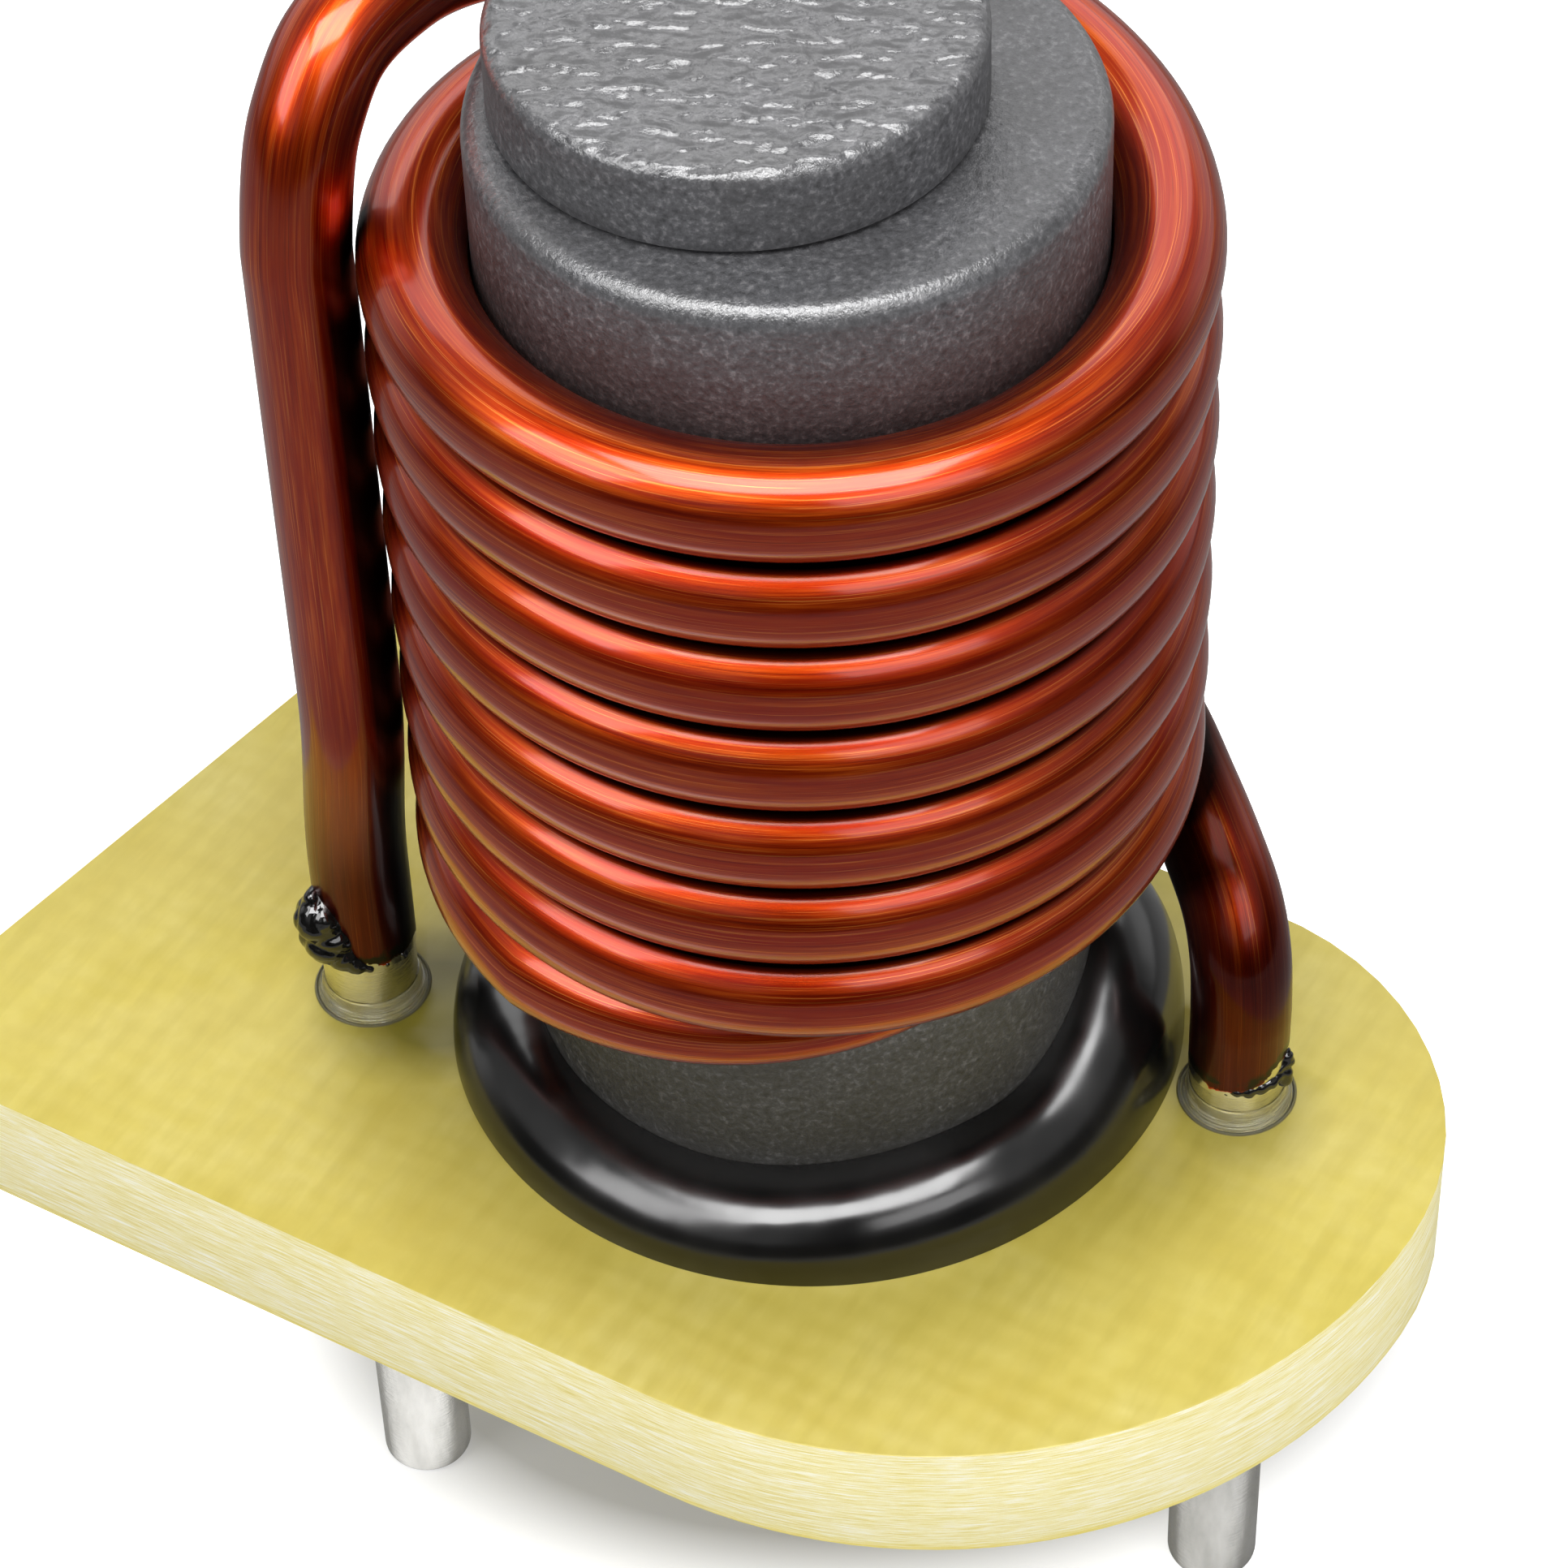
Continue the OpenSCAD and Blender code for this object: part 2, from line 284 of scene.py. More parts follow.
def tin():
    """Bright tinned copper with fine scratches."""
    n = Material("tin")
    cloud = n.noise(n.along((1.5, 1.5, 0.4)))
    n.to("Base Color", n.ramp(cloud, [(0.35, rgb(205, 204, 200)), (0.65, rgb(236, 235, 232))]))
    n.set(Metallic=1.0)
    n.to("Roughness", n.remap(cloud, 0.3, 0.7, 0.10, 0.22))
    scratches = n.noise(n.along((2, 2, 11)), detail=5, rough=0.7)
    n.to("Normal", n.bump(scratches, 0.00003, 0.6, n.bump(cloud, 0.00006, 0.5)))
    return n.mat


def laminate():
    """Glass-epoxy: woven, mottled top; pale fibrous cut edge."""
    weave_turn = math.radians(31.3)
    stripe_turn = math.radians(24)
    n = Material("laminate")
    cloth = n.coords(rotate=(0, 0, weave_turn))
    edge = n.remap(n.math("ABSOLUTE", n.facing()), 0.35, 0.75, 1.0, 0.0)

    # woven top, with broad slanting stripes
    warp = n.wave(cloth, "X", 0.46, 3.5, 2.0)
    weft = n.wave(cloth, "Y", 0.46, 3.5, 2.0)
    weave = n.times(n.math("ADD", warp, weft), 0.5)
    cloud = n.noise(cloth, 0.35, 5, 0.6)
    top = n.ramp(cloud, [(0.3, rgb(218, 199, 88)), (0.5, rgb(226, 209, 102)), (0.7, rgb(233, 218, 122))])
    stripe = n.noise(n.mapped(cloth, (2.2, 0.4, 1.0), (0, 0, stripe_turn)), detail=3)
    top = n.mix(top, rgb(206, 187, 78), n.remap(weave, 0.3, 0.85, 0.0, 0.2))
    top = n.mix(top, rgb(204, 186, 78), n.remap(stripe, 0.45, 0.68, 0.0, 0.4))

    # painted shade, olive, round the bead and the two leads: middle, reach of full and no shade, strength
    shade = 0.0
    here = n.coords()
    for x, y, full, none, strength in ((0, 0, 8.5, 11.5, 0.35), (-8.2, 0.2, 1.2, 3.0, 0.9),
                                       (8.6, -3.4, 0.9, 2.4, 0.5)):
        away = n.measure(here, "DISTANCE", (x, y, plate_t))
        shade = n.most(n.remap(away, full, none, strength, 0.0), shade)
    top = n.mix(top, rgb(104, 97, 22), shade)

    # cut edge: layers of glass, and a yellower line along the bottom
    fibre = n.noise(n.coords((900, 900, 26000)), 1.0, 6, 0.75)
    side = n.ramp(fibre, [(0.36, rgb(232, 216, 124)), (0.5, rgb(248, 238, 176)), (0.62, rgb(255, 253, 236))])
    low = n.remap(n.axis(cloth, "Z"), 0.0, 0.28, 1.0, 0.0)
    side = n.mix(side, rgb(238, 216, 60), n.times(low, 0.75))
    brink = n.math("SUBTRACT", 1.0, n.math("ABSOLUTE", n.math("SUBTRACT", n.times(edge, 2.0), 1.0)))
    both = n.mix(n.mix(top, side, edge), rgb(176, 156, 52), n.times(brink, 0.7))
    n.to("Base Color", both)
    n.set(Specular_IOR_Level=0.45)
    n.to("Roughness", n.remap(edge, 0, 1, 0.34, 0.6))
    n.to("Normal", n.bump(n.mix(weave, fibre, edge), 0.00002, 0.5))
    return n.mat


def ferrite(name, hammered):
    """Dark grey sintered ferrite, shinier on its rim; hammered is the small disc's rippled top."""
    n = Material(name)
    here = n.coords()
    sand = n.noise(here, 7.0, 4, 0.65)
    soft = n.noise(here, 0.5, 3)
    base = n.ramp(sand, [(0.3, rgb(60, 60, 62)), (0.55, rgb(93, 93, 96)), (0.75, rgb(142, 141, 143))])
    base = n.mix(base, rgb(68, 67, 68), n.remap(soft, 0.35, 0.7, 0.0, 0.5))

    # painted shade: darker at the foot and down in the winding's mouth
    height = n.axis(here, "Z")
    base = n.mix(base, rgb(40, 37, 22), n.remap(height, 5.5, 9.5, 0.6, 0.0))
    mouth = n.times(n.remap(height, 23.6, 27.2, 0.9, 0.0), n.remap(height, 10, 14, 0, 1))
    n.to("Base Color", n.mix(base, rgb(18, 12, 9), mouth))

    up = n.facing()
    rim = n.times(n.remap(up, 0.1, 0.4, 0.0, 1.0), n.remap(up, 0.9, 0.99, 1.0, 0.0))
    flat = n.remap(up, 0.6, 0.98, 0.0, 1.0)
    n.to("Roughness", n.lerp(n.remap(sand, 0.3, 0.7, 0.36, 0.52), 0.3, rim))
    normal = n.bump(sand, 0.00005, 0.6)
    if hammered:
        dents = n.noise(n.coords((850, 1200, 1000), (0, 0, 0.25)), 2.1, 1, 0.4, 0.15)
        normal = n.bump(n.times(dents, flat), 0.00033, 1.0, normal)
        n.to("Coat Weight", n.most(flat, rim))
    else:
        n.to("Coat Weight", n.most(n.times(flat, 0.4), rim))
    n.set(Specular_IOR_Level=0.35, Coat_Roughness=0.24, Coat_IOR=1.9)
    n.to("Normal", normal)
    n.to("Coat Normal", normal)
    return n.mat


def black(name, scale, dist, rough):
    """Glossy black resin; scale and dist are its ripples."""
    n = Material(name)
    cloud = n.noise(n.coords(), scale, 2)
    n.to("Base Color", n.ramp(cloud, [(0.3, rgb(9, 9, 9)), (0.7, rgb(17, 16, 15))]))
    n.set(Specular_IOR_Level=0.65, IOR=1.62)
    n.to("Roughness", n.remap(cloud, 0.3, 0.7, rough, rough * 1.8))
    n.to("Normal", n.bump(cloud, dist, 0.4))
    return n.mat


def clear():
    """Clear resin drawn up in rings round each lead."""
    ring_rate = 62.0
    n = Material("meniscus")
    cloud = n.noise(n.coords(), 2.0, 3)
    n.to("Base Color", n.ramp(cloud, [(0.3, rgb(232, 224, 170)), (0.7, rgb(246, 242, 216))]))
    n.set(Transmission_Weight=0.8, IOR=1.42)
    n.to("Roughness", n.remap(cloud, 0.3, 0.7, 0.03, 0.12))
    flat = n.coords((1000, 1000, 0))
    left, right = (n.measure(flat, "DISTANCE", (*xy, 0)) for xy in (left_xy, right_xy))
    rings = n.math("SINE", n.times(n.math("MINIMUM", left, right), ring_rate))
    n.to("Normal", n.bump(rings, 0.00004, 0.7, n.bump(cloud, 0.00008, 0.5)))
    return n.mat


MATERIALS = {
    "wire": enamel(),
    "tin": tin(),
    "plate": laminate(),
    "core": ferrite("ferrite", False),
    "disc": ferrite("disc_ferrite", True),
    "bead": black("black_epoxy", 0.6, 0.00006, 0.15),
    "char": black("char", 1.6, 0.00004, 0.06),
    "glue": black("glue", 3.0, 0.0001, 0.06),
    "clear": clear(),
}


# ---------------------------------------------------------------- mesh helpers
def dress(name, mesh, mat, node):
    """An object of the mesh, in place of the CAD node."""
    mesh.polygons.foreach_set("use_smooth", [True] * len(mesh.polygons))
    mesh.materials.append(MATERIALS[mat])
    o = bpy.data.objects.new(name, mesh)
    bpy.context.scene.collection.objects.link(o)
    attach(o, "root")
    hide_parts(node)
    return o


def make(name, verts, faces, mat, node):
    """An object from points in mm."""
    mesh = bpy.data.meshes.new(name)
    mesh.from_pydata([tuple(v) for v in np.asarray(verts) * MM], [], [tuple(f) for f in faces])
    mesh.update()
    return dress(name, mesh, mat, node)


def crease(o, angle):
    """Edges bent by more than the angle, in degrees, stay sharp."""
    bm = bmesh.new()
    bm.from_mesh(o.data)
    for e in bm.edges:
        if len(e.link_faces) == 2 and e.calc_face_angle(0) > math.radians(angle):
            e.smooth = False
    bm.to_mesh(o.data)
    bm.free()


def points_of(o):
    co = np.zeros(len(o.data.vertices) * 3)
    o.data.vertices.foreach_get("co", co)
    return co.reshape(-1, 3) / MM


def paint_along(o, values):
    o.data.attributes.new("along", "FLOAT_VECTOR", "POINT").data.foreach_set("vector", values.ravel())


def lengths(points):
    """Distance run at each point of a route."""
    return np.concatenate([[0], np.cumsum(np.linalg.norm(np.diff(points, axis=0), axis=1))])


def tube(name, path, radii, mat, node, sides):
    """A closed round sweep that never twists, with a radius for each point."""
    p = np.array(path, float)
    count = len(p)
    t = np.gradient(p, axis=0)
    t /= np.linalg.norm(t, axis=1)[:, None]
    run = lengths(p)
    v = np.array([1, 0.1, 0.05])
    rings, along = [], []
    angle = np.linspace(0, 2 * math.pi, sides, endpoint=False)
    for i in range(count):
        v = v - t[i] * v.dot(t[i])
        v /= np.linalg.norm(v)
        b = np.cross(t[i], v)
        rings.append(p[i] + radii[i] * (np.cos(angle)[:, None] * v + np.sin(angle)[:, None] * b))
        along.append(np.stack([np.cos(angle), np.sin(angle), np.full(sides, run[i])], 1))
    faces = []
    for i in range(count - 1):
        here = i * sides
        ahead = here + sides
        for k in range(sides):
            k2 = (k + 1) % sides
            faces.append((here + k, here + k2, ahead + k2, ahead + k))
    faces.append(tuple(range(sides - 1, -1, -1)))
    faces.append(tuple((count - 1) * sides + k for k in range(sides)))
    o = make(name, np.concatenate(rings), faces, mat, node)
    paint_along(o, np.concatenate(along))
    crease(o, 50)
    return o


def lathe(name, profile, mat, node, seg, at, wobble=None):
    """A profile of (radius, height) turned about the point at; wobble may shift each point."""
    verts, faces = [], []
    count = len(profile)
    closed = profile[0][0] > 1e-9
    for j in range(seg):
        f = 2 * math.pi * j / seg
        for r, z in profile:
            if wobble:
                r, z = wobble(r, z, f)
            verts.append((at[0] + r * math.cos(f), at[1] + r * math.sin(f), at[2] + z))
    for j in range(seg):
        k = (j + 1) % seg
        for i in range(count if closed else count - 1):
            i2 = (i + 1) % count
            faces.append((j * count + i, k * count + i, k * count + i2, j * count + i2))
    o = make(name, verts, faces, mat, node)
    bm = bmesh.new()
    bm.from_mesh(o.data)
    bmesh.ops.remove_doubles(bm, verts=bm.verts, dist=1e-7)
    bmesh.ops.recalc_face_normals(bm, faces=bm.faces)
    bm.to_mesh(o.data)
    bm.free()
    crease(o, 40)
    co = points_of(o)
    f = np.arctan2(co[:, 1] - at[1], co[:, 0] - at[0])
    paint_along(o, np.stack([np.cos(f), np.sin(f), co[:, 2]], 1))


def rounded(r, top, size, steps):
    """Points of a rim's quarter round, from the side to the top."""
    quarter = [math.radians(90 * i / steps) for i in range(steps + 1)]
    return [(r - size * (1 - math.cos(a)), top - size * (1 - math.sin(a))) for a in quarter]


# ---------------------------------------------------------------- the wire's route
first_turn = -2370
last_turn = 165
turn_step = 3
bend_step = 15
strand_start = -2714
strand_end = -2492


def turn_z(a):
    """Height of a turn at angle a, counted from the coil's front; each turn lies a little askew."""
    f = math.radians(a)
    return plate_t + top_turn_z + pitch * a / 360 + lay_back * (1 - math.cos(f)) - lay_side * math.sin(f)


def turn_pt(a):
    return np.array([*polar(coil_r, a - 90), turn_z(a)])


start_z = turn_pt(first_turn - bend_step)[2]
end_z = turn_pt(last_turn)[2]
lean_z = plate_t + strip_left + 2.4
lean_len = 6.0
lead_top_z = end_z - 1.2


def left_lead(z):
    """The tall lead: plumb at the foot, then an S-shaped lean in towards the coil."""
    s = max(0, min(1, (z - lean_z) / lean_len))
    s = s * s * (3 - 2 * s)
    return np.array([*(left_xy + s * (left_top - left_xy)), z])


def right_lead(z):
    return np.array([*right_xy, z])


def spline(c, steps):
    """A Catmull-Rom curve through the points, without its two end spans."""
    out = []
    for i in range(1, len(c) - 2):
        for k in range(steps):
            t = k / steps
            straight = 2 * c[i] + (c[i + 1] - c[i - 1]) * t
            square = (2 * c[i - 1] - 5 * c[i] + 4 * c[i + 1] - c[i + 2]) * t * t
            cube = (3 * c[i] - c[i - 1] - 3 * c[i + 1] + c[i + 2]) * t ** 3
            out.append(0.5 * (straight + square + cube))
    return out


def bend(way, lead_xy, lead_angle, z):
    """Points of a bend from (share of the way out from coil to lead, degrees from the lead, mm from z)."""
    reach = np.linalg.norm(lead_xy) - coil_r
    return [np.array([*polar(coil_r + share * reach, lead_angle + f), z + dz]) for share, f, dz in way]


right_way = [(0.95, 1.3, -3.25), (0.8, 5.6, -2.4), (0.57, 11.6, -1.7), (0.37, 20, -1.3),
             (0.22, 34, -0.9), (0.11, 49.1, -0.45)]
left_way = [(0.02, -87.1, 0.35), (0.07, -68.1, 1.0), (0.1, -49, 1.8), (0.24, -31.6, 2.47),
            (0.43, -19.8, 2.6), (0.65, -11.7, 2.3), (0.81, -6.2, 1.55), (0.92, -2.7, 0.6)]
right_bend = [right_lead(start_z - 6.05), right_lead(start_z - 4.65)]
right_bend += bend(right_way, right_xy, right_angle, start_z)
right_bend += [turn_pt(first_turn + a) for a in (-bend_step, 0, bend_step)]
left_bend = [turn_pt(last_turn - bend_step), turn_pt(last_turn)]
left_bend += bend(left_way, left_top, left_top_angle, end_z)
left_bend += [left_lead(lead_top_z), left_lead(lead_top_z - 1.5)]

route = [right_lead(z) for z in np.linspace(plate_t + strip_right, start_z - 4.75, 12)]
route += spline(right_bend, 8)
route += [turn_pt(a) for a in np.arange(first_turn, last_turn - turn_step / 2, turn_step)]
route += spline(left_bend, 8)
route += [left_lead(z) for z in np.linspace(lead_top_z, plate_t + strip_left, 50)]
wire = tube("wire", route, [wire_r] * len(route), "wire", "winding", 40)


# ---------------------------------------------------------------- the wire's wear and painted shade, painted on its points
def rise(value, start, stop):
    """0 where the value is start, 1 where it is stop, and held beyond them."""
    return np.clip((value - start) / (stop - start), 0, 1)


def paint(name, values):
    wire.data.attributes.new(name, "FLOAT", "POINT").data.foreach_set("value", values)


co = points_of(wire)
along = np.zeros(len(wire.data.vertices) * 3)
wire.data.attributes["along"].data.foreach_get("vector", along)
along = along.reshape(-1, 3)
from_right = along[:, 2]
total = from_right.max()
from_left = total - from_right

# how near the enamel's end is, 1 at the end; on the right lead it ends higher towards +X
towards_x = np.clip(along[:, 0] * 0.9 - along[:, 1] * 0.2 - 0.1, 0, 1)
right_end = from_right - 0.95 * towards_x ** 1.4
reach = np.where(from_right < total / 2, right_end, from_left)
paint("end", np.clip(1 - reach, 0, 2))

# heat-darkened, with painted shade, over the last stretch of each lead
paint("singe", np.maximum(rise(from_right, 6.5, 3.0), rise(from_left, 11, 3)))

# painted shade: dark where another stretch of the wire lies close, on the tall lead's side that faces the
# coil, and on the short lead where the coil shades it
own_stretch = 18
same_ring = 2e-4
track = np.array(route)
track_run = lengths(track)
pit = np.zeros(len(co))
for at in np.unique(from_right.round(4)):
    ring = np.abs(from_right - at) < same_ring
    others = track[np.abs(track_run - at) > own_stretch]
    gap = np.linalg.norm(co[ring][:, None] - others[None], axis=2).min(axis=1) - wire_r
    wide = np.interp(at, (3.6, 5.2, 8.5, 10.5), (1.0, 2.3, 2.3, 0.42))
    close = rise(gap, wide, 0.55 * wide)
    off_coil = np.hypot(co[ring][:, 0], co[ring][:, 1]) - coil_out
    beside = rise(off_coil, 1.0, 0.55) * np.interp(at, (total - 24, total - 19), (0, 1))
    shaded = np.minimum(rise(along[ring][:, 0], 0.45, 0.15), 0.92)
    shaded = shaded * np.interp(at, (4.1, 4.8, 7.6, 9.0), (0, 1, 1, 0))
    pit[ring] = np.maximum(np.maximum(close, beside), shaded)
paint("pit", pit)


# ---------------------------------------------------------------- lowest strand
lowest_turn = -2430
thin_r = 0.49
tip_r = 0.36
thinning = (-140, -70, -62)


def strand_r(a):
    """The strand is drawn down from the full wire and tapers once more at its tip."""
    full, thin, tip = thinning
    f = a - lowest_turn
    if f < full:
        return wire_r
    if f < thin:
        return wire_r - (f - full) / (thin - full) * (wire_r - thin_r)
    return thin_r - (f - thin) / (tip - thin) * (thin_r - tip_r)


def strand_pt(a):
    """Close under the turn above, and in against the rod as the strand thins."""
    r = strand_r(a)
    inward = wire_r - r
    apart = wire_r + r + turn_gap
    return np.array([*polar(coil_r - inward, a - 90), turn_z(a + 360) - math.sqrt(apart ** 2 - inward ** 2)])


strand_angles = [*np.arange(strand_start, strand_end, turn_step), strand_end]
tube("lowest_strand", [strand_pt(a) for a in strand_angles], [strand_r(a) for a in strand_angles], "wire",
     "tucked_strand", 36)

# ---------------------------------------------------------------- tinned ends and collars
tip_round = 0.2
tip_steps = 6
neck_r = pin_r - 0.01
ring_gap = 0.085


def ripple(r, z, f):
    """The rings round a lead's foot run a little out of true, inwards only."""
    if r < pin_r + 0.01 or z < 0.02:
        return r, z
    inward = 0.008 * (1 + math.sin(3 * f + 30 * z))
    sunk = 0.012 * (1 + math.sin(2 * f + 9 * z)) * min(1, z * 8)
    return r - inward, z - sunk


def tinned_end(side, xy, strip):
    """Bare tinned wire from its rounded tip up to the enamel."""
    top = plate_t + strip - 0.03
    quarter = [math.radians(90 * i / tip_steps) for i in range(tip_steps + 1)]
    prof = [(0, tip_z)]
    prof += [(pin_r - tip_round * (1 - math.sin(a)), tip_z + tip_round * (1 - math.cos(a))) for a in quarter]
    prof += [(pin_r, z) for z in np.linspace(-13, -0.15, 30)]
    prof += [(neck_r, 0.15)]
    prof += [(neck_r, z) for z in np.linspace(0.5, top, 8)]
    prof += [(bare_r + 0.005, top), (0, top)]
    lathe(side + "_tinned_end", prof, "tin", side + "_tin_coat", 48, (*xy, 0))


def meniscus(side, xy):
    """A low skirt, four rings one above the other, and a thin lip against the lead."""
    skirt = [(0.005, 0.0), (0.25, 0.0), (0.245, 0.02), (0.225, 0.04), (0.195, 0.035), (0.165, 0.015),
             (0.14, 0.015), (0.115, 0.06)]
    lip = [(0.015, 0.45), (0.012, 0.48), (0.005, 0.48)]
    prof = [(pin_r + out, z) for out, z in skirt]
    for i in range(4):
        z = 0.13 + ring_gap * i
        out = pin_r + 0.105 - 0.02 * i
        prof += [(out - 0.022, z - 0.036), (out - 0.004, z - 0.018), (out, z), (out - 0.008, z + 0.02)]
    prof += [(pin_r + out, z) for out, z in lip]
    lathe(side + "_meniscus", prof, "clear", side + "_collar", 96, (*xy, plate_t), ripple)


for side, xy, strip in (("left", left_xy, strip_left), ("right", right_xy, strip_right)):
    tinned_end(side, xy, strip)
    meniscus(side, xy)

# ---------------------------------------------------------------- ferrite rod, glue and small disc
disc_round = 0.3
glue_r = disc_r - 0.2
core_top = plate_t + core_h

rod = [(0, 0), (core_r - 0.2, 0), (core_r - 0.06, 0.05), (core_r, 0.2)]
rod += [(core_r, z) for z in np.linspace(0.6, core_h - core_round - 0.05, 24)]
rod += rounded(core_r, core_h, core_round, 10)
rod += [(r, core_h) for r in (5.2, 4.2, 3.0, 1.5, 0)]
lathe("ferrite_rod", rod, "core", "ferrite_core", 160, (0, 0, plate_t))

glue = [(0, 0), (glue_r, 0), (glue_r, glue_t), (0, glue_t)]
lathe("disc_glue", glue, "glue", "disc_adhesive", 96, (disc_x, disc_y, core_top))

disc = [(0, 0), (disc_r - 0.1, 0), (disc_r - 0.03, 0.03), (disc_r, 0.1)]
disc += [(disc_r, z) for z in np.linspace(0.3, disc_h - disc_round - 0.02, 6)]
disc += rounded(disc_r, disc_h, disc_round, 8)
disc += [(r, disc_h) for r in np.linspace(4.2, 0, 12)]
lathe("small_disc", disc, "disc", "top_disc", 160, (disc_x, disc_y, core_top + glue_t))

# ---------------------------------------------------------------- epoxy bead
bead_in = core_r + 0.008
bead_sections = 220
bead_steps = 28


def swell(f, centre, width):
    """1 at the centre angle, falling smoothly to 0 at the width, all in degrees."""
    d = abs((f - centre + 540) % 360 - 180)
    return 0.5 + 0.5 * math.cos(math.pi * d / width) if d < width else 0


def bead_top(f):
    return bead_h + 0.4 * swell(f, -58, 60) + 1.6 * swell(f, -5, 48)


def bead_out(f):
    return core_r + bead_w + 0.12 * swell(f, -10, 46) - 0.95 * swell(f, 92, 110)


def bead_section(f):
    """(radius, height) from the rod, up, over and down to the plate."""
    h = bead_top(f)
    w = bead_out(f) - bead_in
    section = [(bead_in, 0), (bead_in, h)]
    for i in range(1, bead_steps + 1):
        a = math.radians(90 * i / bead_steps)
        section.append((bead_in + w * math.sin(a) ** 0.95, h * max(0, math.cos(a)) ** 0.8))
    return section


verts, faces = [], []
m = bead_steps + 2
for j in range(bead_sections):
    f = -180 + 360 * j / bead_sections
    verts += [(*polar(r, f), plate_t + z) for r, z in bead_section(f)]
    here = j * m
    ahead = (j + 1) % bead_sections * m
    faces += [(here + k, here + (k + 1) % m, ahead + (k + 1) % m, ahead + k) for k in range(m)]
crease(make("epoxy_ring", verts, faces, "bead", "epoxy_bead"), 50)

# ---------------------------------------------------------------- charred enamel
voxel = 0.05
fold_depth = 0.07
crinkle_depth = 0.012
crinkle_shift = Vector((7, 3, 1))


def melted(balls, xy, z):
    """One mesh round the balls: each is (degrees round the lead, height, radius, mm out from the wire)."""
    bm = bmesh.new()
    for f, up, r, out in balls:
        centre = Vector((*(xy + polar(wire_r + out, f)), z + up))
        bmesh.ops.create_icosphere(bm, subdivisions=4, radius=r * MM, matrix=Matrix.Translation(centre * MM))
    mesh = bpy.data.meshes.new("balls")
    bm.to_mesh(mesh)
    bm.free()
    o = bpy.data.objects.new("balls", mesh)
    bpy.context.scene.collection.objects.link(o)
    remesh = o.modifiers.new("melt", "REMESH")
    remesh.mode = "VOXEL"
    remesh.voxel_size = voxel * MM
    done = bpy.data.meshes.new_from_object(o.evaluated_get(bpy.context.evaluated_depsgraph_get()))
    bpy.data.objects.remove(o)
    return done


def char(side, xy, z, balls):
    """The balls as one crusty lump, its folds cut inwards."""
    mesh = melted(balls, xy, z)
    co = np.array([v.co for v in mesh.vertices]) / MM
    normal = np.array([v.normal for v in mesh.vertices])
    fold = np.array([abs(noise.noise(Vector(c) * 1.3)) for c in co])
    crinkle = np.array([abs(noise.noise(Vector(c) * 3.2 + crinkle_shift)) for c in co])
    depth = fold_depth * np.clip(1 - 3 * fold, 0, 1) ** 1.5
    depth = depth + crinkle_depth * np.clip(1 - 3 * crinkle, 0, 1)
    co = co - normal * depth[:, None]
    faces = [tuple(p.vertices) for p in mesh.polygons]
    make(side + "_char", co, faces, "char", side + "_enamel_blob")


left_balls = [(215, 1.3, 0.62, 0), (226, 0.8, 0.58, -0.03), (207, 1.82, 0.3, 0.02), (213, 0.7, 0.5, 0.02),
              (242, 0.42, 0.42, -0.1), (258, 0.2, 0.3, -0.1), (276, 0.1, 0.16, -0.06),
              (296, 0.08, 0.12, -0.04), (320, 0.1, 0.16, -0.05)]
right_balls = [(-22, 0.62, 0.2, -0.04), (-24, 0.42, 0.24, -0.04), (-27, 0.22, 0.24, -0.04),
               (-30, 0.05, 0.22, -0.02), (-40, 0.32, 0.22, -0.1), (-52, 0.24, 0.22, -0.11),
               (-66, 0.18, 0.2, -0.11), (-82, 0.15, 0.18, -0.1), (-98, 0.13, 0.16, -0.09),
               (-108, 0.12, 0.14, -0.07)]
char("left", left_xy, plate_t + strip_left, left_balls)
char("right", right_xy, plate_t + strip_right, right_balls)

# ---------------------------------------------------------------- plate: the CAD form with broken edges
edge_break = 0.05
bm = bmesh.new()
bm.from_mesh(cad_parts["base_plate"].data)
bmesh.ops.remove_doubles(bm, verts=bm.verts, dist=1e-6)
bmesh.ops.dissolve_limit(bm, angle_limit=math.radians(0.5), verts=bm.verts, edges=bm.edges)
sharp = [e for e in bm.edges if len(e.link_faces) == 2 and e.calc_face_angle(0) > math.radians(40)]
bmesh.ops.bevel(bm, geom=sharp, offset=edge_break * MM, segments=2, profile=0.5, affect="EDGES",
                clamp_overlap=True)
plate_mesh = bpy.data.meshes.new("laminate_plate")
bm.to_mesh(plate_mesh)
bm.free()
crease(dress("laminate_plate", plate_mesh, "plate", "base_plate"), 30)


